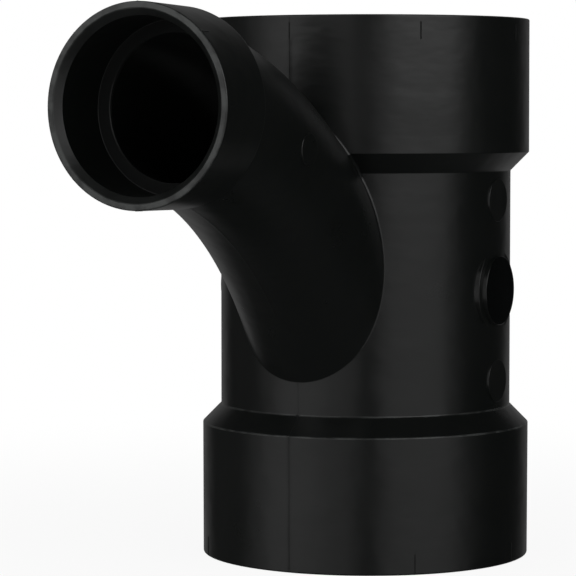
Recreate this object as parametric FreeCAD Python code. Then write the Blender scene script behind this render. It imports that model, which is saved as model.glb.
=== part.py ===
import FreeCAD, Part
import math
import os

# A drain fitting moulded in one piece: an upright run with a socket at each end, and a smaller branch
# that leaves the front of the run as a long-turn sweep and ends in a socket of its own.
# The run's axis is Z and its bottom face lies at z = 0. The branch points along -Y.
# Sizes are millimetres, angles are degrees.

# Pipes that the sockets take, and how far each goes in
run_pipe_r = 57.15
run_socket_depth = 44.45
branch_pipe_r = 30.16
branch_socket_depth = 25.0

# A socket's bore is this much wider than its pipe, on the radius
run_socket_ease = 0.12
branch_socket_ease = 0.1

# Lead-in chamfer inside each mouth, and the small bevel outside it
lead_in_depth = 2.4
lead_in_width = 2.6
rim_bevel = 0.6

# The run, its waterway narrower than its pipe by the ledge that stops the pipe. Its hubs widen a little,
# on the radius, from the mouth to the shoulder.
overall_height = 206.2
run_stop_ledge = 6.85
run_wall = 5.7
run_hub_wall = 5.73
run_hub_past_stop = 6.35
run_hub_taper = 0.2
shoulder_angle = 45.0

# The branch: its mouth's centre, out from the run's axis and down from the run's top, and a fall of a
# quarter inch to the foot
branch_reach = 172.0
branch_below_top = 33.6
branch_pitch = math.degrees(math.atan(1 / 48))
branch_hub_wall = 4.84
branch_hub_past_stop = 2.5
branch_hub_taper = 0.3
branch_hub_edge = 0.8

# The sweep: the angle its line leaves the branch socket at, how far above the lower shoulder its underside
# meets the run, how many degrees its bend may go on inside the run, and how far inside the bore it ends
branch_stop_ledge = 4.96
sweep_wall = 5.6
sweep_start_angle = 10.9
crotch_above_shoulder = 12.37
sweep_run_on = 19.0
sweep_past_wall = 1.0
junction_round = 1.2

# Round moulding pads, on both sides of the run and of the sweep
gate_pad_r = 16.0
gate_pad_sink = 0.5
gate_button_r = 13.0
gate_button_stand = 1.5
eject_pad_r = 8.2
eject_pad_stand = 0.15
eject_pad_offset = 34.3
sweep_pad_angle = 26.5

run_socket_r = run_pipe_r + run_socket_ease
branch_socket_r = branch_pipe_r + branch_socket_ease
run_waterway_r = run_pipe_r - run_stop_ledge
branch_waterway_r = branch_pipe_r - branch_stop_ledge
run_hub_r = run_socket_r + run_hub_wall
run_body_r = run_waterway_r + run_wall
run_hub_length = run_socket_depth + run_hub_past_stop
shoulder_length = (run_hub_r + run_hub_taper - run_body_r) / math.tan(math.radians(shoulder_angle))
branch_hub_r = branch_socket_r + branch_hub_wall
branch_hub_length = branch_socket_depth + branch_hub_past_stop
sweep_r = branch_waterway_r + sweep_wall

up = FreeCAD.Vector(0, 0, 1)
sideways = FreeCAD.Vector(1, 0, 0)


def in_plane(out, height):
    """A point of the plane that the run and the branch share, this far out from the run's axis."""
    return FreeCAD.Vector(0, -out, height)


def along(angle):
    """The unit direction in that plane that points outwards and rises by an angle."""
    return in_plane(math.cos(math.radians(angle)), math.sin(math.radians(angle)))


branch_axis = along(branch_pitch)
branch_mouth = in_plane(branch_reach, overall_height - branch_below_top)
branch_stop = branch_mouth - branch_axis * branch_socket_depth
crotch = in_plane(run_body_r, run_hub_length + shoulder_length + crotch_above_shoulder)


def turned(outline):
    """The solid of revolution about Z of a closed outline of (radius, height) points."""
    points = [FreeCAD.Vector(r, 0, z) for r, z in outline]
    face = Part.Face(Part.makePolygon(points + points[:1]))
    return face.revolve(FreeCAD.Vector(0, 0, 0), up, 360)


def facing(shape, point, direction):
    """A shape made about Z, moved so that its origin is at the point and its Z looks along the direction."""
    moved = shape.copy()
    moved.Placement = FreeCAD.Placement(point, FreeCAD.Rotation(up, direction)).multiply(shape.Placement)
    return moved


def run_outside():
    """The run as a solid bar: hub, shoulder, body, shoulder, hub."""
    top = overall_height
    hub, body, bevel = run_hub_r, run_body_r, rim_bevel
    widest, corner = hub + run_hub_taper, run_hub_length + shoulder_length
    return turned([
        (0, 0), (hub - bevel, 0), (hub, bevel), (widest, run_hub_length), (body, corner),
        (body, top - corner), (widest, top - run_hub_length), (hub, top - bevel), (hub - bevel, top), (0, top),
    ])


def branch_hub_outside():
    """The branch's hub as a solid bar, its mouth at z = 0 looking up, narrowing to its bevelled back edge."""
    hub, back, bevel, edge = branch_hub_r, -branch_hub_length, rim_bevel, branch_hub_edge
    narrow = hub - branch_hub_taper
    bar = turned([
        (0, 0), (hub - bevel, 0), (hub, -bevel), (narrow, back + edge), (narrow - edge, back), (0, back),
    ])
    return facing(bar, branch_mouth, branch_axis)


def sweep_radius():
    """The radius of the arc that leaves the branch as stated and has the crotch on its underside."""
    lean = math.radians(sweep_start_angle)
    out, drop = crotch.y - branch_stop.y, branch_stop.z - crotch.z
    return (out**2 + drop**2 - sweep_r**2) / (2 * (drop * math.cos(lean) - out * math.sin(lean) - sweep_r))


def sweep_line():
    """The sweep's path: an arc from the branch socket's stop into the run, with a straight lead at each end."""
    start, radius = sweep_start_angle, sweep_radius()
    centre = branch_stop - along(start + 90) * radius
    entry = math.degrees(math.asin((-centre.y - run_body_r) / radius))
    bore = run_waterway_r - sweep_past_wall
    clear_of_wall = min(1.0, (-centre.y - bore) / (radius - sweep_r))
    end = min(entry + sweep_run_on, math.degrees(math.asin(clear_of_wall)))

    def on_arc(angle):
        return centre + along(angle + 90) * radius

    first, last = on_arc(start), on_arc(end)
    lead_in = first + along(start) * (branch_socket_depth / 2)
    lean = math.radians(end)
    still_in_wall = (-last.y + sweep_r * math.sin(lean) - bore) / math.cos(lean)
    inside = last - along(end) * max(sweep_past_wall, still_in_wall)
    edges = [
        Part.LineSegment(lead_in, first).toShape(),
        Part.Arc(first, on_arc((start + end) / 2), last).toShape(),
        Part.LineSegment(last, inside).toShape(),
    ]
    return Part.Wire(edges), on_arc


def sweep_tube(radius):
    """A round bar of this radius along the sweep's path."""
    path, _ = sweep_line()
    start = path.Vertexes[0].Point
    ring = Part.Wire(Part.makeCircle(radius, start, along(sweep_start_angle)))
    return path.makePipeShell([ring], True, False)


def socket(radius, depth):
    """The space inside a socket, its mouth at z = 0 looking up: a chamfer, then the bore down to the stop."""
    mouth, past_mouth = radius + lead_in_width, 1.0
    return turned([
        (0, past_mouth), (mouth, past_mouth), (mouth, 0),
        (radius, -lead_in_depth), (radius, -depth), (0, -depth),
    ])


def pad_pair(radius, face, point):
    """A pad on each side, as one bar through the point: its flat ends lie this far out on both sides."""
    return Part.makeCylinder(radius, 2 * face, point - sideways * face, sideways)


def run_pads():
    """The run's pads, on both sides: a stepped gate pad at mid height, an ejector pad above and below it."""
    middle = FreeCAD.Vector(0, 0, overall_height / 2)
    pads = [
        pad_pair(gate_pad_r, run_body_r - gate_pad_sink, middle),
        pad_pair(gate_button_r, run_body_r + gate_button_stand, middle),
    ]
    for offset in (-eject_pad_offset, eject_pad_offset):
        pads.append(pad_pair(eject_pad_r, run_body_r + eject_pad_stand, middle + up * offset))
    return pads


def junction_edges(shape):
    """The edges along which the sweep meets the run: all that are neither straight nor round."""
    return [edge for edge in shape.Edges if not isinstance(edge.Curve, (Part.Circle, Part.Line))]


def fitting():
    """The whole fitting: the outside joined up, then the sockets and waterways cut out of it."""
    _, on_arc = sweep_line()
    outside = run_outside().fuse(sweep_tube(sweep_r))
    outside = outside.makeFillet(junction_round, junction_edges(outside))
    outside = outside.fuse(branch_hub_outside())
    sweep_pads = pad_pair(eject_pad_r, sweep_r + eject_pad_stand, on_arc(sweep_pad_angle))
    outside = outside.fuse(run_pads() + [sweep_pads])

    run_socket = socket(run_socket_r, run_socket_depth)
    branch_socket = socket(branch_socket_r, branch_socket_depth)
    return outside.cut([
        Part.makeCylinder(run_waterway_r, overall_height),
        sweep_tube(branch_waterway_r),
        facing(run_socket, up * overall_height, up),
        facing(run_socket, FreeCAD.Vector(0, 0, 0), -up),
        facing(branch_socket, branch_mouth, branch_axis),
    ])


os.makedirs("parts", exist_ok=True)
wye_body = fitting()
print("solids", len(wye_body.Solids), "valid", wye_body.isValid(), "volume", round(wye_body.Volume))
wye_body.exportStep("parts/wye_body.step")
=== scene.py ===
import math
import bmesh
import bpy
import numpy as np
from mathutils import Matrix, Vector


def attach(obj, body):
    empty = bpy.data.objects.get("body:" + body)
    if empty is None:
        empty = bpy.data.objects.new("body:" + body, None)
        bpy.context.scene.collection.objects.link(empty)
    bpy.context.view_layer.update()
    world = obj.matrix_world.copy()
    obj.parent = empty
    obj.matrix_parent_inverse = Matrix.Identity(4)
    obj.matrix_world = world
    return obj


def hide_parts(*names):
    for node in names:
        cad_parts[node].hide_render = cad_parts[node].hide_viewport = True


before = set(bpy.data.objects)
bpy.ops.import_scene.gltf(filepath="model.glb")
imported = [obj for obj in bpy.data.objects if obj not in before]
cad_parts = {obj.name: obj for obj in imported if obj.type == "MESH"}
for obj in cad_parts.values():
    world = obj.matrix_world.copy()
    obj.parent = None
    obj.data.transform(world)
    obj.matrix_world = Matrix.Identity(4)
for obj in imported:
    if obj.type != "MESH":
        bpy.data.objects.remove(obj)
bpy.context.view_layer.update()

up = Vector((0, 0, 1))

# Sizes are millimetres in every dictionary and metres in every mesh. Angles are degrees unless a note says
# radians. The run stands on the floor with its axis on Z, and the branch points along -Y.
runSizes = {
    "height": 206.2, "hubRadius": 63.0, "hubTaper": 0.1, "bodyRadius": 56.0, "hubLength": 50.8,
    "shoulder": 7.2, "socketRadius": 57.27, "socketDepth": 44.45, "waterwayRadius": 50.3,
    "leadDepth": 2.4, "leadWidth": 2.6,
    "rimRound": 0.6, "shoulderRound": 0.55, "footRoundShare": 1.4,
    "segments": 224, "faceLength": 2.2, "coreFaceLength": 4.0, "sharpAngle": 30,
}
branchSizes = {
    "pitch": math.atan(1 / 48),  # a quarter inch to the foot, in radians
    "reach": 172.0, "mouthHeight": 172.6, "hubRadius": 34.95, "hubTaper": 0.25, "hubLength": 27.5,
    "socketRadius": 30.26, "socketDepth": 25.0, "leadDepth": 2.4, "leadWidth": 2.6,
    "rimRound": 0.6, "backRound": 1.0, "throatRound": 0.8,
    "segments": 160, "faceLength": 2.2, "coreFaceLength": 3.0,
}
# The sweep leaves the branch at startAngle and its middle line meets the run's wall at entryAngle. Its bar goes
# on a little both ways, from firstAngle to lastAngle.
sweepSizes = {
    "tubeRadius": 30.8, "waterwayRadius": 25.2, "startAngle": 10.9, "entryAngle": 46.3,
    "firstAngle": 8.0, "lastAngle": 68.0, "rings": 110, "sides": 144,
}


def mm(*values):
    # millimetres as metres: one value, or a point
    scaled = [v / 1000 for v in values]
    return scaled[0] if len(scaled) == 1 else Vector(scaled)


def rounded(corners, steps=5, margin=0.35):
    # corners are (radius, height, rounding); a rounded one becomes an arc, with a point just outside each end
    points = [Vector(c[:2]) for c in corners]
    outline = []
    for i, corner in enumerate(corners):
        here, rounding = points[i], corner[2] if len(corner) > 2 else 0
        if rounding == 0 or i in (0, len(corners) - 1):
            outline.append(here)
            continue
        back = (points[i - 1] - here).normalized()
        on = (points[i + 1] - here).normalized()
        half = back.angle(on) / 2
        reach = rounding / math.tan(half)
        middle = here + (back + on).normalized() * (rounding / math.sin(half))
        first, last = here + back * reach - middle, here + on * reach - middle
        turn = first.angle_signed(last)
        outline.append(here + back * (reach + margin))
        for k in range(steps + 1):
            a = -turn * k / steps
            outline.append(middle + Vector((first.x * math.cos(a) - first.y * math.sin(a),
                                            first.x * math.sin(a) + first.y * math.cos(a))))
        outline.append(here + on * (reach + margin))
    return outline


def spaced(outline, gap):
    # adds points on long runs of an outline, so that turned faces stay short
    out = [outline[0]]
    for a, b in zip(outline, outline[1:]):
        n = max(1, math.ceil((b - a).length / gap))
        out += [a + (b - a) * (k / n) for k in range(1, n + 1)]
    return out


def turned(name, outline, segments, place=None):
    # a closed solid: the outline, which starts and ends on the axis, turned about Z
    place = place or Matrix()
    onAxis = 1e-6
    angles = [2 * math.pi * k / segments for k in range(segments)]
    shape = bmesh.new()
    rings = []
    for radius, height in outline:
        if radius < onAxis:
            rings.append([shape.verts.new(place @ mm(0, 0, height))])
        else:
            rings.append([shape.verts.new(place @ mm(radius * math.cos(a), radius * math.sin(a), height))
                          for a in angles])
    for low, high in zip(rings, rings[1:]):
        for k in range(segments):
            n = (k + 1) % segments
            if len(low) == 1 and len(high) == 1:
                continue
            if len(low) == 1:
                shape.faces.new((low[0], high[n], high[k]))
            elif len(high) == 1:
                shape.faces.new((low[k], low[n], high[0]))
            else:
                shape.faces.new((low[k], low[n], high[n], high[k]))
    bmesh.ops.recalc_face_normals(shape, faces=shape.faces)
    return placed(name, shape)


def placed(name, shape):
    # a bmesh becomes an object in the scene
    mesh = bpy.data.meshes.new(name)
    shape.to_mesh(mesh)
    shape.free()
    thing = bpy.data.objects.new(name, mesh)
    bpy.context.collection.objects.link(thing)
    return thing


def applied(thing):
    # what a thing's modifiers make becomes its mesh
    plain = bpy.data.meshes.new_from_object(thing.evaluated_get(bpy.context.evaluated_depsgraph_get()))
    thing.modifiers.clear()
    thing.data = plain


def facing(point, direction):
    # moves things made about Z to a point in metres, and turns them along a direction
    return Matrix.Translation(point) @ up.rotation_difference(direction).to_matrix().to_4x4()


def inPlane(out, height):
    # a point of the plane that the run and the branch share
    return Vector((0, -out, height))


def along(angle):
    # the direction in that plane that rises by an angle, in radians
    return inPlane(math.cos(angle), math.sin(angle))


branchAxis = along(branchSizes["pitch"])
branchMouth = inPlane(branchSizes["reach"], branchSizes["mouthHeight"])
branchStop = branchMouth - branchAxis * branchSizes["socketDepth"]
sweepStart, sweepEntry = math.radians(sweepSizes["startAngle"]), math.radians(sweepSizes["entryAngle"])
sweepRadius = (-branchStop.y - runSizes["bodyRadius"]) / (math.sin(sweepEntry) - math.sin(sweepStart))
sweepCentre = branchStop + inPlane(math.sin(sweepStart), -math.cos(sweepStart)) * sweepRadius


def onSweep(angle):
    # a point of the sweep's middle line; the angle is in radians
    return sweepCentre + inPlane(-math.sin(angle), math.cos(angle)) * sweepRadius


def branchFrame():
    return facing(branchMouth / 1000, branchAxis)


def addNode(tree, kind, settings=None, links=None):
    # a node with its settings; an input gets a plain value, a socket, or the output that a node has in use
    node = tree.nodes.new(kind)
    for key, value in (settings or {}).items():
        setattr(node, key, value)
    for key, value in (links or {}).items():
        if isinstance(value, bpy.types.Node):
            value = next(socket for socket in value.outputs if socket.enabled)
        if isinstance(value, bpy.types.NodeSocket):
            tree.links.new(value, node.inputs[key])
        else:
            node.inputs[key].default_value = value
    return node


def newTree(name, wanted):
    # an empty Geometry Nodes tree with its named inputs, and the sockets that give them
    tree = bpy.data.node_groups.new(name, "GeometryNodeTree")
    for label, kind in wanted:
        tree.interface.new_socket(label, in_out="INPUT", socket_type="NodeSocket" + kind)
    tree.interface.new_socket("Geometry", in_out="OUTPUT", socket_type="NodeSocketGeometry")
    return tree, addNode(tree, "NodeGroupInput").outputs


def endTree(tree, geometry, finish):
    real = addNode(tree, "GeometryNodeRealizeInstances", {}, {"Geometry": geometry})
    dressed = addNode(tree, "GeometryNodeSetMaterial", {}, {"Geometry": real, "Material": finish})
    addNode(tree, "NodeGroupOutput", {}, {"Geometry": dressed})
    return tree


def grown(name, tree, values, start=None):
    # the mesh that a Geometry Nodes tree makes from named values
    holder = bpy.data.objects.new(name, start or bpy.data.meshes.new(name))
    bpy.context.collection.objects.link(holder)
    maker = holder.modifiers.new(name, "NODES")
    maker.node_group = tree
    for item in tree.interface.items_tree:
        if item.in_out == "INPUT" and item.name in values:
            maker[item.identifier] = values[item.name]
    applied(holder)
    holder.data.name = name
    return holder


def barTree():
    # a round bar along an arc through three points
    tree, given = newTree("sweepBar", [
        ("Tube Radius", "Float"), ("First Point", "Vector"), ("Middle Point", "Vector"),
        ("Last Point", "Vector"), ("Rings", "Int"), ("Sides", "Int"), ("Finish", "Material")])
    arc = addNode(tree, "GeometryNodeCurveArc", {"mode": "POINTS"}, {
        "Resolution": given["Rings"], "Start": given["First Point"],
        "Middle": given["Middle Point"], "End": given["Last Point"]})
    ring = addNode(tree, "GeometryNodeCurvePrimitiveCircle", {}, {
        "Resolution": given["Sides"], "Radius": given["Tube Radius"]})
    bar = addNode(tree, "GeometryNodeCurveToMesh", {}, {
        "Curve": arc, "Profile Curve": ring, "Fill Caps": True})
    return endTree(tree, bar, given["Finish"])


def sweepBar(name, tree, radius, finish):
    first, last = math.radians(sweepSizes["firstAngle"]), math.radians(sweepSizes["lastAngle"])
    return grown(name, tree, {
        "Tube Radius": mm(radius), "First Point": onSweep(first) / 1000,
        "Middle Point": onSweep((first + last) / 2) / 1000, "Last Point": onSweep(last) / 1000,
        "Rings": sweepSizes["rings"], "Sides": sweepSizes["sides"], "Finish": finish})


# Raised marks around the mouths. Number 6 of a ring would stand on the mould's front ridge, so the lower hub
# leaves it out.
tickSizes = {
    "count": 8, "barRadius": 0.4, "sides": 8, "stand": 0.17, "branchStand": 0.1, "fromRim": 0.5,
    "topFrom": 2.6, "topLength": 9.0, "bottomLength": 7.6, "bottomTurn": -1.6, "bottomLeftOut": 6,
    "branchLength": 5.0, "noneLeftOut": -1,
}


def tickTree():
    # a ring of upright bars, one of which may be left out
    tree, given = newTree("mouthTicks", [
        ("Count", "Int"), ("Left Out", "Int"), ("Ring Radius", "Float"), ("Bar Radius", "Float"),
        ("Sides", "Int"), ("First Point", "Vector"), ("Last Point", "Vector"), ("Finish", "Material")])
    places = addNode(tree, "GeometryNodeMeshCircle", {}, {
        "Vertices": given["Count"], "Radius": given["Ring Radius"]})
    line = addNode(tree, "GeometryNodeCurvePrimitiveLine", {}, {
        "Start": given["First Point"], "End": given["Last Point"]})
    ring = addNode(tree, "GeometryNodeCurvePrimitiveCircle", {}, {
        "Resolution": given["Sides"], "Radius": given["Bar Radius"]})
    bar = addNode(tree, "GeometryNodeCurveToMesh", {}, {
        "Curve": line, "Profile Curve": ring, "Fill Caps": True})
    number = addNode(tree, "GeometryNodeInputIndex")
    kept = addNode(tree, "FunctionNodeCompare", {"data_type": "INT", "operation": "NOT_EQUAL"}, {
        2: number, 3: given["Left Out"]})
    ticks = addNode(tree, "GeometryNodeInstanceOnPoints", {}, {
        "Points": places, "Selection": kept, "Instance": bar})
    return endTree(tree, ticks, given["Finish"])


def mouthTicks(finish):
    # short bars on each hub near its rim, an eighth of a turn apart, which show how far the fitting is turned
    t, tree, top = tickSizes, tickTree(), runSizes["height"]
    runHub, branchHub = runSizes["hubRadius"], branchSizes["hubRadius"]
    rim, none = t["fromRim"], t["noneLeftOut"]
    turn = Matrix.Rotation(math.radians(t["bottomTurn"]), 4, "Z")
    rows = [("ticksTop", runHub, t["stand"], top - t["topLength"], top - t["topFrom"], none, Matrix()),
            ("ticksBottom", runHub, t["stand"], rim, t["bottomLength"], t["bottomLeftOut"], turn),
            ("ticksBranch", branchHub, t["branchStand"], -t["branchLength"], -rim, none, branchFrame())]
    bars = []
    for name, hub, stand, first, last, leftOut, place in rows:
        bar = grown(name, tree, {
            "Count": t["count"], "Left Out": leftOut, "Ring Radius": mm(hub + stand - t["barRadius"]),
            "Bar Radius": mm(t["barRadius"]), "Sides": t["sides"],
            "First Point": mm(0, 0, first), "Last Point": mm(0, 0, last), "Finish": finish})
        bar.data.transform(place)
        bars.append(bar)
    return bars


# The fine ridge left where the mould's halves met, in the plane x = 0. Along the sweep it runs between angles
# of the sweep's arc.
ridgeSizes = {
    "barRadius": 0.3, "stand": 0.06, "fromRim": 0.9, "sides": 8, "frontRise": 14,
    "sweepFrom": 9.0, "sweepTopTo": 37.0, "sweepUnderTo": 49.0, "sweepPoints": 60,
}


def ridgeTree():
    # a thin bar along a line
    tree, given = newTree("mouldRidge", [
        ("Geometry", "Geometry"), ("Bar Radius", "Float"), ("Sides", "Int"), ("Finish", "Material")])
    path = addNode(tree, "GeometryNodeMeshToCurve", {}, {"Mesh": given["Geometry"]})
    ring = addNode(tree, "GeometryNodeCurvePrimitiveCircle", {}, {
        "Resolution": given["Sides"], "Radius": given["Bar Radius"]})
    bar = addNode(tree, "GeometryNodeCurveToMesh", {}, {
        "Curve": path, "Profile Curve": ring, "Fill Caps": True})
    return endTree(tree, bar, given["Finish"])


def chain(name, points):
    # a mesh of one open line
    line = bpy.data.meshes.new(name)
    line.from_pydata([p / 1000 for p in points], [(k, k + 1) for k in range(len(points) - 1)], [])
    return line


def mouldRidges(finish):
    # down the run's back and front, and along the branch's top and underside
    r, tree = ridgeSizes, ridgeTree()
    sink = r["barRadius"] - r["stand"]
    s, b = runSizes, branchSizes
    top, hub, wall = s["height"], s["hubRadius"] - sink, s["bodyRadius"] - sink
    corner, rim = s["hubLength"] + s["shoulder"], r["fromRim"]
    widest = hub + s["hubTaper"]
    upper = [(wall, top - corner), (widest, top - s["hubLength"]), (hub, top - rim)]
    lower = [(hub, rim), (widest, s["hubLength"]), (wall, corner)]
    lines = {
        "ridgeBack": [inPlane(-out, height) for out, height in lower + upper],
        "ridgeFrontLow": [inPlane(out, height) for out, height in lower + [(wall, corner + r["frontRise"])]],
        "ridgeFrontHigh": [inPlane(out, height) for out, height in upper[1:]],
    }
    tube = sweepSizes["tubeRadius"] - sink
    for name, side, last in (("ridgeSweepTop", 1, r["sweepTopTo"]),
                             ("ridgeSweepUnder", -1, r["sweepUnderTo"])):
        angles = np.radians(np.linspace(r["sweepFrom"], last, r["sweepPoints"]))
        lines[name] = [onSweep(a) + inPlane(-math.sin(a), math.cos(a)) * (side * tube) for a in angles]
    hub, back = b["hubRadius"] - sink, -b["hubLength"]
    for name, side in (("ridgeHubTop", 1), ("ridgeHubUnder", -1)):
        local = [(hub - b["hubTaper"], back + b["backRound"]), (hub, -rim)]
        lines[name] = [(branchFrame() @ mm(0, side * out, height)) * 1000 for out, height in local]
    values = {"Bar Radius": mm(r["barRadius"]), "Sides": r["sides"], "Finish": finish}
    return [grown(name, tree, values, chain(name, points)) for name, points in lines.items()]


# The round where the sweep meets the run: a ball rolled along the corner leaves it. Its search goes along the
# sweep from firstAngle in strides, then by halves.
beadSizes = {
    "radius": 1.2, "count": 288, "steps": 9, "overlap": 0.006, "sink": 1.2,
    "firstAngle": 14, "stride": 0.5, "halvings": 24,
}


def runProfile():
    # the run's wall above its lower shoulder, as (radius, height) points
    hub, body, top = runSizes["hubRadius"], runSizes["bodyRadius"], runSizes["height"]
    corner, widest = runSizes["hubLength"] + runSizes["shoulder"], hub + runSizes["hubTaper"]
    return np.array([(body, corner), (body, top - corner), (widest, top - runSizes["hubLength"]), (hub, top)])


def nearestOnProfile(point, profile, tie=1e-9):
    # how far the point lies outside the run's wall, and the wall's nearest point
    best = None
    for a, b in zip(profile, profile[1:]):
        t = np.clip(np.dot(point - a, b - a) / np.dot(b - a, b - a), 0, 1)
        foot = a + t * (b - a)
        side = (b - a)[1] * (point - a)[0] - (b - a)[0] * (point - a)[1]
        gap = np.linalg.norm(point - foot) * (1 if side >= 0 else -1)
        if best is None or abs(gap) < abs(best[0]) - tie:
            best = (gap, foot)
    return best


def junctionBead(name):
    s, profile = beadSizes, runProfile()
    ball, steps, stride = s["radius"], s["steps"], math.radians(s["stride"])
    tube = sweepSizes["tubeRadius"]
    centreOut, centreUp = -sweepCentre.y, sweepCentre.z

    def ballAt(angle, turn, radius):
        # a point beside the sweep: an angle along its arc, a turn around its middle line, a radius away
        arm = sweepRadius + radius * math.cos(turn)
        return np.array((
            radius * math.sin(turn), -(centreOut - arm * math.sin(angle)), centreUp + arm * math.cos(angle)))

    def gapAt(angle, turn):
        # how far a ball that touches the tube stays clear of the run's wall
        x, y, z = ballAt(angle, turn, tube + ball)
        return nearestOnProfile(np.array((math.hypot(x, y), z)), profile)[0] - ball

    shape = bmesh.new()
    rings = []
    for k in range(s["count"]):
        turn = 2 * math.pi * k / s["count"]
        angle = math.radians(s["firstAngle"])
        while gapAt(angle, turn) > 0:
            angle += stride
        low, high = angle - stride, angle
        for _ in range(s["halvings"]):
            middle = (low + high) / 2
            if gapAt(middle, turn) > 0:
                low = middle
            else:
                high = middle
        centre = ballAt(low, turn, tube + ball)
        onTube = ballAt(low, turn, tube)
        reach = math.hypot(centre[0], centre[1])
        foot = nearestOnProfile(np.array((reach, centre[2])), profile)[1]
        onRun = np.array((centre[0] * foot[0] / reach, centre[1] * foot[0] / reach, foot[1]))
        a = (onRun - centre) / np.linalg.norm(onRun - centre)
        b = (onTube - centre) / np.linalg.norm(onTube - centre)
        spread = math.acos(np.clip(np.dot(a, b), -1, 1))
        ring = []
        for step in range(steps + 1):
            t = step / steps
            ray = (math.sin((1 - t) * spread) * a + math.sin(t * spread) * b) / math.sin(spread)
            ring.append(centre + ray * (ball + s["overlap"]))
        deep = (a + b) / np.linalg.norm(a + b)
        ring.append(centre + deep * (ball / math.cos(spread / 2) + s["sink"]))
        rings.append([shape.verts.new(mm(*p)) for p in ring])
    for here, there in zip(rings, rings[1:] + rings[:1]):
        for k in range(len(here)):
            n = (k + 1) % len(here)
            shape.faces.new((here[k], here[n], there[n], there[k]))
    bmesh.ops.recalc_face_normals(shape, faces=shape.faces)
    return placed(name, shape)


def runBar():
    # the run as a solid bar: hub, shoulder, body, shoulder, hub
    s = runSizes
    top, hub, body = s["height"], s["hubRadius"], s["bodyRadius"]
    corner, widest = s["hubLength"] + s["shoulder"], hub + s["hubTaper"]
    rim, bend = s["rimRound"], s["shoulderRound"]
    foot = bend * s["footRoundShare"]
    outline = rounded([
        (0, 0), (hub, 0, rim), (widest, s["hubLength"], bend), (body, corner, foot),
        (body, top - corner, foot), (widest, top - s["hubLength"], bend), (hub, top, rim), (0, top)])
    return turned("runBar", spaced(outline, s["faceLength"]), s["segments"])


def hubBar():
    # the branch's hub as a solid bar, narrower at its rounded back edge
    s = branchSizes
    hub, back = s["hubRadius"], -s["hubLength"]
    narrow = hub - s["hubTaper"]
    outline = rounded([(0, 0), (hub, 0, s["rimRound"]), (narrow, back, s["backRound"]), (0, back)])
    return turned("hubBar", spaced(outline, s["faceLength"]), s["segments"], branchFrame())


# Round moulding pads on both sides. A face's size is how far out from the middle plane it lies, and the dome
# is the gate button's.
padSizes = {
    "gateRadius": 16.0, "gateFace": 55.5, "buttonRadius": 13.0, "buttonFace": 57.5, "dome": 0.35,
    "domeSteps": (0.8, 0.6, 0.4, 0.2, 0), "draft": 10.0, "edgeRound": 0.3, "baseSink": 1.4, "segments": 72,
    "ejectRadius": 8.2, "ejectStand": 0.15, "ejectOffset": 34.3,
    "sweepPadRadius": 5.8, "sweepPadAngle": 25.5, "sweepPadDrop": 1.0,
}


def disc(name, radius, base, face, point, direction, dome=0.0):
    # a round pad that narrows from its base to its face, both so far along the direction
    s = padSizes
    foot = radius + (face - dome - base) * math.tan(math.radians(s["draft"]))
    rise = [(radius * share, face - dome * share * share) for share in s["domeSteps"]]
    outline = rounded([(0, base), (foot, base), (radius, face - dome, s["edgeRound"]), *rise])
    return turned(name, outline, s["segments"], facing(point / 1000, direction))


def padBars():
    s = padSizes
    middle = Vector((0, 0, runSizes["height"] / 2))
    wall = (runSizes["waterwayRadius"] + runSizes["bodyRadius"]) / 2 - s["baseSink"]
    tubeWall = (sweepSizes["waterwayRadius"] + sweepSizes["tubeRadius"]) / 2
    ejectFace = runSizes["bodyRadius"] + s["ejectStand"]
    sweepFace = sweepSizes["tubeRadius"] + s["ejectStand"]
    sweepPoint = onSweep(math.radians(s["sweepPadAngle"])) - up * s["sweepPadDrop"]
    bars = []
    for side, way in (("Right", Vector((1, 0, 0))), ("Left", Vector((-1, 0, 0)))):
        bars += [disc("gatePad" + side, s["gateRadius"], wall, s["gateFace"], middle, way),
                 disc("gateButton" + side, s["buttonRadius"], wall, s["buttonFace"], middle, way, s["dome"])]
        for place, offset in (("Low", -s["ejectOffset"]), ("High", s["ejectOffset"])):
            point = middle + up * offset
            bars.append(disc("ejectPad" + side + place, s["ejectRadius"], wall, ejectFace, point, way))
        bars.append(disc("sweepPad" + side, s["sweepPadRadius"], tubeWall, sweepFace, sweepPoint, way))
    return bars


# The cores cut the inside, as the mould's own cores shape it. Each starts a little outside its mouth.
coreSizes = {
    "past": 1.0, "rimDip": 0.122, "rimSink": 0.001, "rimRound": 0.3, "leadRound": 0.4, "stopRound": 0.2,
    "boreRound": 0.4, "throatEase": 0.15, "throatStep": 15,
}


def mouthOutline(sizes):
    # from outside the mouth down to the stop; the rim line dips by 7 degrees, so that the cut edge is eased
    c, radius = coreSizes, sizes["socketRadius"]
    wide = radius + sizes["leadWidth"]
    return [(0, c["past"]), (wide + c["past"], c["past"]), (wide + c["past"], c["rimDip"]),
            (wide, -c["rimSink"], c["rimRound"]), (radius, -sizes["leadDepth"], c["leadRound"]),
            (radius, -sizes["socketDepth"], c["stopRound"])]


def runCore():
    s, bend, mouth = runSizes, coreSizes["boreRound"], mouthOutline(runSizes)
    top, bore, depth = s["height"], s["waterwayRadius"], s["socketDepth"]
    upper = [(r, top + h, *more) for r, h, *more in mouth] + [(bore, top - depth, bend)]
    lower = [(r, -h, *more) for r, h, *more in mouth] + [(bore, depth, bend)]
    outline = rounded(upper + lower[::-1])
    return turned("runCore", spaced(outline, s["coreFaceLength"]), s["segments"])


def branchCore():
    # the socket, and the eased edge where the waterway leaves its stop
    s, c = branchSizes, coreSizes
    throat, ease = sweepSizes["waterwayRadius"] + c["throatEase"], s["throatRound"]
    edge = [(throat + ease * (1 - math.sin(a)), -s["socketDepth"] - ease * (1 - math.cos(a)))
            for a in np.radians(range(0, 90 + 1, c["throatStep"]))]
    outline = rounded(mouthOutline(s) + edge + [(0, edge[-1][1])])
    return turned("branchCore", spaced(outline, s["coreFaceLength"]), s["segments"], branchFrame())


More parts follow.
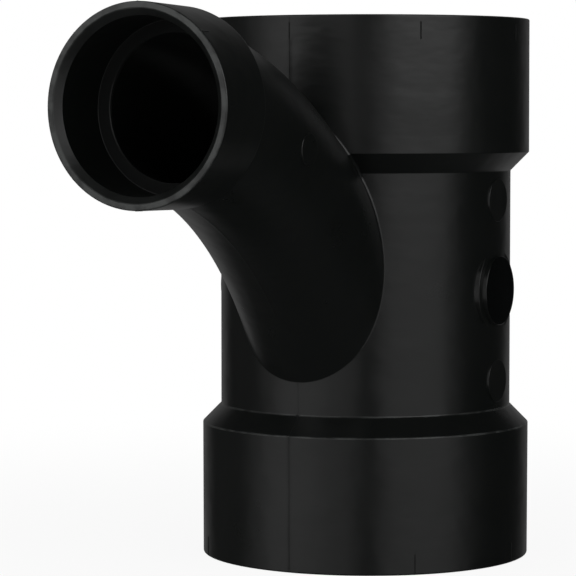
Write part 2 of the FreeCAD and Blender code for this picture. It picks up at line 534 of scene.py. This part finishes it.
def worked(thing, tools, operation):
    # joins or cuts with each tool in turn, then drops the tools
    for tool in tools:
        step = thing.modifiers.new(tool.name, "BOOLEAN")
        step.operation, step.object, step.solver = operation, tool, "MANIFOLD"
    applied(thing)
    for tool in tools:
        bpy.data.objects.remove(tool)


def smoothed(thing, angle):
    # smooth shading that keeps the edges sharper than the angle
    thing.data.shade_smooth()
    thing.data.set_sharp_from_angle(angle=math.radians(angle))
    thing.modifiers.new("weigh", "WEIGHTED_NORMAL").keep_sharp = True
    applied(thing)


def openEdges(mesh):
    shape = bmesh.new()
    shape.from_mesh(mesh)
    count = sum(1 for edge in shape.edges if len(edge.link_faces) != 2)
    shape.free()
    return count


def wyeBody(finish):
    tree = barTree()
    body = runBar()
    bars = [sweepBar("sweepBar", tree, sweepSizes["tubeRadius"], finish), junctionBead("junctionBead"),
            hubBar(), *padBars(), *mouthTicks(finish), *mouldRidges(finish)]
    worked(body, bars, "UNION")
    print("outside joined,", len(body.data.polygons), "faces,", openEdges(body.data), "open edges")
    cores = [runCore(), branchCore(), sweepBar("waterway", tree, sweepSizes["waterwayRadius"], finish)]
    worked(body, cores, "DIFFERENCE")
    print("inside cut,", len(body.data.polygons), "faces,", openEdges(body.data), "open edges")
    body.name = body.data.name = "fittingBody"
    body.data.materials.clear()
    body.data.materials.append(finish)
    smoothed(body, runSizes["sharpAngle"])
    return body


# Patches break up the painted highlight on the rims, the lower corner and the lead-ins. Ripples, clouds and
# streaks, which lie level, are what the melt leaves. The grain of a polished mould is a few hundredths of a
# millimetre: too fine to show, so it is drawn at 0.35 mm.
absLook = {
    # the third colour is a painted highlight on the rims, the lower hub's corner and the lead-ins
    "colour": "#070908", "worn": "#0a0c0b", "paintedHighlight": "#3a3c3b", "paintedGateShade": "#010202",
    # the fourth colour is painted shade that darkens the gate's face
    "ior": 1.53, "roughness": 0.305, "roughnessSpread": 0.04,
    "leadRoughness": 0.37, "ledgeRoughness": 1.0, "gateRoughness": 0.14,
    "leadHighlightShare": 0.08, "cornerHighlightShare": 0.65, "bendHighlightShare": 0.7,
    # millimetres across, and detail
    "patterns": {"grain": (0.35, 2.0), "ripple": (14.0, 1.5), "streak": (15.0, 3.0), "highlightPatch": (6.0, 3.0),
                 "cloud": (36.0, 4.0)},
    "patternRoughness": 0.55, "streakSquash": (0.4, 0.4, 1.0),
    "highlightPatchFrom": 0.38, "highlightPatchTo": 0.62, "highlightPatchLeast": 0.3, "highlightPatchMost": 1.3, "cloudFrom": 0.3, "cloudTo": 0.7,
    # strength, and height in millimetres
    "bumps": {"grain": (0.05, 0.05), "ripple": (1.0, 0.28), "streak": (1.0, 0.36)},
}

# How far each mask reaches past the form that it picks out, or stays inside it
maskSizes = {
    "rimFull": 0.1, "rimNone": 0.5, "rimPast": 0.5, "leadPast": 0.1, "leadDeeper": 0.05,
    "ledgeDepth": 0.15, "ledgeInside": 0.2, "lineDepth": 0.35, "lineRadius": 0.6,
    "gateFace": 0.12, "gateFromHub": 20,
}


def linear(text):
    # an sRGB hex colour as linear values
    values = [int(text[i:i + 2], 16) / 255 for i in (1, 3, 5)]
    return [v / 12.92 if v <= 0.04045 else ((v + 0.055) / 1.055) ** 2.4 for v in values] + [1.0]


def inBranch(tree, place):
    # how deep a point lies in the branch's mouth, and how far from its axis
    fromMouth = addNode(tree, "ShaderNodeVectorMath", {"operation": "SUBTRACT"}, {
        0: place, 1: tuple(branchMouth / 1000)})
    depth = addNode(tree, "ShaderNodeVectorMath", {"operation": "DOT_PRODUCT"}, {
        0: fromMouth, 1: tuple(-branchAxis)})
    across = addNode(tree, "ShaderNodeVectorMath", {"operation": "CROSS_PRODUCT"}, {
        0: fromMouth, 1: tuple(branchAxis)})
    return depth, addNode(tree, "ShaderNodeVectorMath", {"operation": "LENGTH"}, {0: across})


def inRun(tree, at):
    # how deep a point lies in the nearer of the run's mouths, and how far from its axis
    half = mm(runSizes["height"] / 2)
    high = addNode(tree, "ShaderNodeMath", {"operation": "SUBTRACT"}, {0: at["Z"], 1: half})
    away = addNode(tree, "ShaderNodeMath", {"operation": "ABSOLUTE"}, {0: high})
    depth = addNode(tree, "ShaderNodeMath", {"operation": "SUBTRACT"}, {0: half, 1: away})
    flat = addNode(tree, "ShaderNodeCombineXYZ", {}, {"X": at["X"], "Y": at["Y"]})
    return depth, addNode(tree, "ShaderNodeVectorMath", {"operation": "LENGTH"}, {0: flat})


def rimHighlightMask(tree, depth, radius, sizes):
    # 1 on a mouth's flat rim, which is painted lighter as a highlight, and 0 elsewhere
    m = maskSizes
    shallow = addNode(tree, "ShaderNodeMapRange", {}, {
        "Value": depth, "From Min": mm(m["rimNone"]), "From Max": mm(m["rimFull"])})
    near = addNode(tree, "ShaderNodeMath", {"operation": "LESS_THAN"}, {
        0: radius, 1: mm(sizes["hubRadius"] + m["rimPast"])})
    return addNode(tree, "ShaderNodeMath", {"operation": "MULTIPLY"}, {0: shallow, 1: near})


def leadMask(tree, depth, radius, sizes):
    # 1 on a mouth's lead-in chamfer, which pipes have scuffed dull and which takes a faint painted highlight
    m = maskSizes
    near = addNode(tree, "ShaderNodeMath", {"operation": "LESS_THAN"}, {
        0: radius, 1: mm(sizes["socketRadius"] + sizes["leadWidth"] + m["leadPast"])})
    shallow = addNode(tree, "ShaderNodeMath", {"operation": "LESS_THAN"}, {
        0: depth, 1: mm(sizes["leadDepth"] + m["leadDeeper"])})
    return addNode(tree, "ShaderNodeMath", {"operation": "MULTIPLY"}, {0: near, 1: shallow})


def ledgeMask(tree, depth, radius, sizes):
    # 1 on the branch socket's stop, which the end of the mould's core leaves coarse
    m = maskSizes
    deep = addNode(tree, "ShaderNodeMath", {"operation": "COMPARE"}, {
        0: depth, 1: mm(sizes["socketDepth"]), 2: mm(m["ledgeDepth"])})
    near = addNode(tree, "ShaderNodeMath", {"operation": "LESS_THAN"}, {
        0: radius, 1: mm(sizes["socketRadius"] - m["ledgeInside"])})
    return addNode(tree, "ShaderNodeMath", {"operation": "MULTIPLY"}, {0: deep, 1: near})


def cornerHighlightMask(tree, depth, radius, height):
    # 1 on the lower hub's outer corner and a little less in the bend above it, where a highlight is painted
    m, s = maskSizes, runSizes
    lines = []
    for below, out, share in ((0, s["hubRadius"], 1), (s["shoulder"], s["bodyRadius"], absLook["bendHighlightShare"])):
        level = addNode(tree, "ShaderNodeMath", {"operation": "COMPARE"}, {
            0: depth, 1: mm(s["hubLength"] + below), 2: mm(m["lineDepth"])})
        near = addNode(tree, "ShaderNodeMath", {"operation": "COMPARE"}, {
            0: radius, 1: mm(out), 2: mm(m["lineRadius"])})
        line = addNode(tree, "ShaderNodeMath", {"operation": "MULTIPLY"}, {0: level, 1: near})
        lines.append(addNode(tree, "ShaderNodeMath", {"operation": "MULTIPLY"}, {0: line, 1: share}))
    either = addNode(tree, "ShaderNodeMath", {"operation": "MAXIMUM"}, {0: lines[0], 1: lines[1]})
    low = addNode(tree, "ShaderNodeMath", {"operation": "LESS_THAN"}, {0: height, 1: mm(s["height"] / 2)})
    return addNode(tree, "ShaderNodeMath", {"operation": "MULTIPLY"}, {0: either, 1: low})


def gateMask(tree, depth, sideways):
    # 1 on the gate's face, which the cutter leaves as smooth as glass and which is painted darker as shade
    m = maskSizes
    side = addNode(tree, "ShaderNodeMath", {"operation": "ABSOLUTE"}, {0: sideways})
    far = addNode(tree, "ShaderNodeMath", {"operation": "GREATER_THAN"}, {
        0: side, 1: mm(padSizes["buttonFace"] - padSizes["dome"] - m["gateFace"])})
    deep = addNode(tree, "ShaderNodeMath", {"operation": "GREATER_THAN"}, {
        0: depth, 1: mm(runSizes["hubLength"] + m["gateFromHub"])})
    return addNode(tree, "ShaderNodeMath", {"operation": "MULTIPLY"}, {0: far, 1: deep})


def mouldedAbs():
    # black acrylonitrile butadiene styrene from a polished mould: satin, its highlights broad with soft edges
    s = absLook
    finish = bpy.data.materials.new("mouldedBlackAbs")
    finish.use_nodes = True
    tree = finish.node_tree
    tree.nodes.clear()
    place = addNode(tree, "ShaderNodeTexCoord").outputs["Object"]
    at = addNode(tree, "ShaderNodeSeparateXYZ", {}, {"Vector": place}).outputs
    squashed = addNode(tree, "ShaderNodeVectorMath", {"operation": "MULTIPLY"}, {
        0: place, 1: s["streakSquash"]})
    noise = {}
    for name, (across, detail) in s["patterns"].items():
        noise[name] = addNode(tree, "ShaderNodeTexNoise", {}, {
            "Vector": squashed if name == "streak" else place, "Scale": 1000 / across, "Detail": detail,
            "Roughness": s["patternRoughness"]})

    branch, run = inBranch(tree, place), inRun(tree, at)
    rim, lead = (addNode(tree, "ShaderNodeMath", {"operation": "MAXIMUM"}, {
        0: mask(tree, *branch, branchSizes), 1: mask(tree, *run, runSizes)}) for mask in (rimHighlightMask, leadMask))
    ledge, gate = ledgeMask(tree, *branch, branchSizes), gateMask(tree, run[0], at["X"])
    corner = addNode(tree, "ShaderNodeMath", {"operation": "MULTIPLY"}, {
        0: cornerHighlightMask(tree, *run, at["Z"]), 1: s["cornerHighlightShare"]})
    edges = addNode(tree, "ShaderNodeMath", {"operation": "MAXIMUM"}, {0: rim, 1: corner})
    leads = addNode(tree, "ShaderNodeMath", {"operation": "MULTIPLY"}, {0: lead, 1: s["leadHighlightShare"]})
    highlightPlaces = addNode(tree, "ShaderNodeMath", {"operation": "MAXIMUM"}, {0: edges, 1: leads})
    highlightPatches = addNode(tree, "ShaderNodeMapRange", {}, {
        "Value": noise["highlightPatch"], "From Min": s["highlightPatchFrom"], "From Max": s["highlightPatchTo"],
        "To Min": s["highlightPatchLeast"], "To Max": s["highlightPatchMost"]})
    highlightMask = addNode(tree, "ShaderNodeMath", {"operation": "MULTIPLY"}, {0: highlightPlaces, 1: highlightPatches})

    # in the mixes below, the gate's face is darkened as painted shade
    tint = linear(s["colour"])  # a mix takes colours in its inputs 6 and 7, and plain values in 2 and 3
    # the streaks vary the black's tone, and the painted highlight lightens the rims, the lower corner and the
    # lead-ins
    for mask, shade in ((noise["streak"], "worn"), (highlightMask, "paintedHighlight"), (gate, "paintedGateShade")):
        tint = addNode(tree, "ShaderNodeMix", {"data_type": "RGBA"}, {0: mask, 6: tint, 7: linear(s[shade])})
    gloss = addNode(tree, "ShaderNodeMapRange", {}, {
        "Value": noise["cloud"], "From Min": s["cloudFrom"], "From Max": s["cloudTo"],
        "To Min": s["roughness"] - s["roughnessSpread"], "To Max": s["roughness"] + s["roughnessSpread"]})
    for mask, value in ((lead, "leadRoughness"), (ledge, "ledgeRoughness"), (gate, "gateRoughness")):
        gloss = addNode(tree, "ShaderNodeMix", {"data_type": "FLOAT"}, {0: mask, 2: gloss, 3: s[value]})
    normal = {}  # each bump lies on the one before it
    for name, (strength, height) in s["bumps"].items():
        normal = {"Normal": addNode(tree, "ShaderNodeBump", {}, {
            "Height": noise[name], "Strength": strength, "Distance": mm(height), **normal})}
    skin = addNode(tree, "ShaderNodeBsdfPrincipled", {}, {
        "Base Color": tint, "Roughness": gloss, "IOR": s["ior"], **normal})
    addNode(tree, "ShaderNodeOutputMaterial", {}, {"Surface": skin})
    return finish


cameraSizes = {
    "position": (479.2, -964.9, 170.7), "heading": 28.01, "down": 3.63, "lens": 173.56, "sensor": 36.0,
    "nearest": 50.0, "furthest": 50000.0,
}

# Levels are brightness as seen from the object. The backdrop begins and ends at shares of the way towards the
# wall behind the object, and the light from below at shares of the way down. The floor's sizes are metres.
studio = {
    "floorColour": "#f4f4f4", "floorSize": 12.0, "floorWhite": 0.91, "whiteFrom": 0.1, "whiteTo": 0.5,
    "ambient": 0.4, "room": 0.01, "backdrop": 0.175, "backdropFrom": 0.71, "backdropTo": 0.95,
    "below": 0.03, "belowFrom": -0.4, "belowTo": -0.8, "aim": (0, -30, 100),
}

# Upright panels: degrees to the right of the camera, degrees wide, lowest and highest degrees, metres away,
# and level
softboxes = {
    "leftRear": (-110, 36, -24, 45, 1.6, 0.04),
    "leftOuter": (-82, 16, -24, 48, 1.6, 0.24),
    "leftSoftbox": (-54, 40, -24, 48, 1.6, 0.54),
    "leftGlow": (-54, 40, -24, -3, 1.6, 0.33),
    "leftUpper": (-54, 40, 13, 45, 0.6, 0.35),
    "leftFill": (-20.5, 27, -24, 48, 1.6, 0.38),
    "rightSoftbox": (37, 56, -24, 52, 1.6, 0.48),
    "rightGlow": (37, 56, -24, -3, 1.6, 0.29),
    "rightOuter": (71, 12, -24, 52, 1.6, 0.15),
    "rightUpper": (40, 53, 13, 45, 0.6, 0.95),
    "rearLowLeft": (-152, 36, -38, -15, 1.6, 0.055),
    "rearLowRight": (152, 36, -38, -15, 1.6, 0.1),
}


def photoCamera():
    s = cameraSizes
    eye = bpy.data.cameras.new("photoCamera")
    eye.lens, eye.sensor_width = s["lens"], s["sensor"]
    eye.clip_start, eye.clip_end = mm(s["nearest"]), mm(s["furthest"])
    thing = bpy.data.objects.new("photoCamera", eye)
    bpy.context.collection.objects.link(thing)
    heading, down = math.radians(s["heading"]), math.radians(s["down"])
    look = Vector((-math.sin(heading) * math.cos(down), math.cos(heading) * math.cos(down), -math.sin(down)))
    thing.location = mm(*s["position"])
    thing.rotation_euler = look.to_track_quat("-Z", "Y").to_euler()
    bpy.context.scene.camera = thing


def softbox(name, turn, spread, low, high, distance, level):
    # an upright panel whose brightness, seen from the object, is the level
    low, high = (distance * math.tan(math.radians(angle)) for angle in (low, high))
    wide = 2 * distance * math.tan(math.radians(spread / 2))
    lamp = bpy.data.lights.new(name, "AREA")
    lamp.shape, lamp.size, lamp.size_y = "RECTANGLE", wide, high - low
    lamp.energy = level * math.pi * lamp.size * lamp.size_y
    thing = bpy.data.objects.new(name, lamp)
    bpy.context.collection.objects.link(thing)
    heading = math.radians(cameraSizes["heading"] + turn)
    away = Vector((math.sin(heading), -math.cos(heading), 0))
    thing.location = mm(*studio["aim"]) + away * distance + up * (low + high) / 2
    thing.rotation_euler = (-away).to_track_quat("-Z", "Y").to_euler()
    thing.visible_camera = False


def studioWorld():
    # white where the camera looks, a pale wall behind the object and a dark room in front of it
    s = studio
    world = bpy.data.worlds.new("studio")
    bpy.context.scene.world = world
    world.use_nodes = True
    tree = world.node_tree
    tree.nodes.clear()
    rays = addNode(tree, "ShaderNodeLightPath").outputs
    place = addNode(tree, "ShaderNodeTexCoord").outputs["Generated"]
    heading = math.radians(cameraSizes["heading"])
    wall = addNode(tree, "ShaderNodeVectorMath", {"operation": "DOT_PRODUCT"}, {
        0: place, 1: (-math.sin(heading), math.cos(heading), 0.0)})
    seen = addNode(tree, "ShaderNodeMapRange", {"interpolation_type": "SMOOTHSTEP"}, {
        "Value": wall, "From Min": s["backdropFrom"], "From Max": s["backdropTo"],
        "To Min": s["room"], "To Max": s["backdrop"]})
    height = addNode(tree, "ShaderNodeSeparateXYZ", {}, {"Vector": place}).outputs["Z"]
    below = addNode(tree, "ShaderNodeMapRange", {"interpolation_type": "SMOOTHSTEP"}, {
        "Value": height, "From Min": s["belowFrom"], "From Max": s["belowTo"],
        "To Min": 0.0, "To Max": s["below"]})
    around = addNode(tree, "ShaderNodeMath", {"operation": "ADD"}, {0: seen, 1: below})
    level = addNode(tree, "ShaderNodeMix", {"data_type": "FLOAT"}, {
        0: rays["Is Glossy Ray"], 2: s["ambient"], 3: around})
    shown = addNode(tree, "ShaderNodeMath", {"operation": "MAXIMUM"}, {0: rays["Is Camera Ray"], 1: level})
    sky = addNode(tree, "ShaderNodeBackground", {}, {"Color": (1, 1, 1, 1), "Strength": shown})
    addNode(tree, "ShaderNodeOutputWorld", {}, {"Surface": sky})


def studioFloor():
    # paper that takes the object's shadow and is plain white further out; reflections and the panels' light
    # pass through it
    s = studio
    finish = bpy.data.materials.new("paperFloor")
    finish.use_nodes = True
    tree = finish.node_tree
    tree.nodes.clear()
    rays = addNode(tree, "ShaderNodeLightPath").outputs
    place = addNode(tree, "ShaderNodeTexCoord").outputs["Object"]
    reach = addNode(tree, "ShaderNodeVectorMath", {"operation": "LENGTH"}, {0: place})
    far = addNode(tree, "ShaderNodeMapRange", {"interpolation_type": "SMOOTHSTEP"}, {
        "Value": reach, "From Min": s["whiteFrom"], "From Max": s["whiteTo"],
        "To Min": s["floorWhite"], "To Max": 1.0})
    share = addNode(tree, "ShaderNodeMath", {"operation": "MULTIPLY"}, {0: far, 1: rays["Is Camera Ray"]})
    paper = addNode(tree, "ShaderNodeBsdfDiffuse", {}, {"Color": linear(s["floorColour"])})
    white = addNode(tree, "ShaderNodeEmission", {}, {"Strength": 1.0})
    shown = addNode(tree, "ShaderNodeMixShader", {}, {0: share, 1: paper, 2: white})
    clear = addNode(tree, "ShaderNodeBsdfTransparent")
    passing = addNode(tree, "ShaderNodeMath", {"operation": "MAXIMUM"}, {
        0: rays["Is Glossy Ray"], 1: rays["Is Shadow Ray"]})
    skin = addNode(tree, "ShaderNodeMixShader", {}, {0: passing, 1: shown, 2: clear})
    addNode(tree, "ShaderNodeOutputMaterial", {}, {"Surface": skin})
    shape = bmesh.new()
    half = s["floorSize"] / 2
    corners = ((-half, -half, 0), (half, -half, 0), (half, half, 0), (-half, half, 0))
    shape.faces.new([shape.verts.new(corner) for corner in corners])
    floor = placed("studioFloor", shape)
    floor.data.materials.append(finish)


bpy.context.scene.view_settings.view_transform = "Standard"
photoCamera()
studioWorld()
studioFloor()
for name, panel in softboxes.items():
    softbox(name, *panel)
print("studio ready")

blackAbs = mouldedAbs()
body = wyeBody(blackAbs)
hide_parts("wye_body")
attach(body, "root")
print("fitting made")
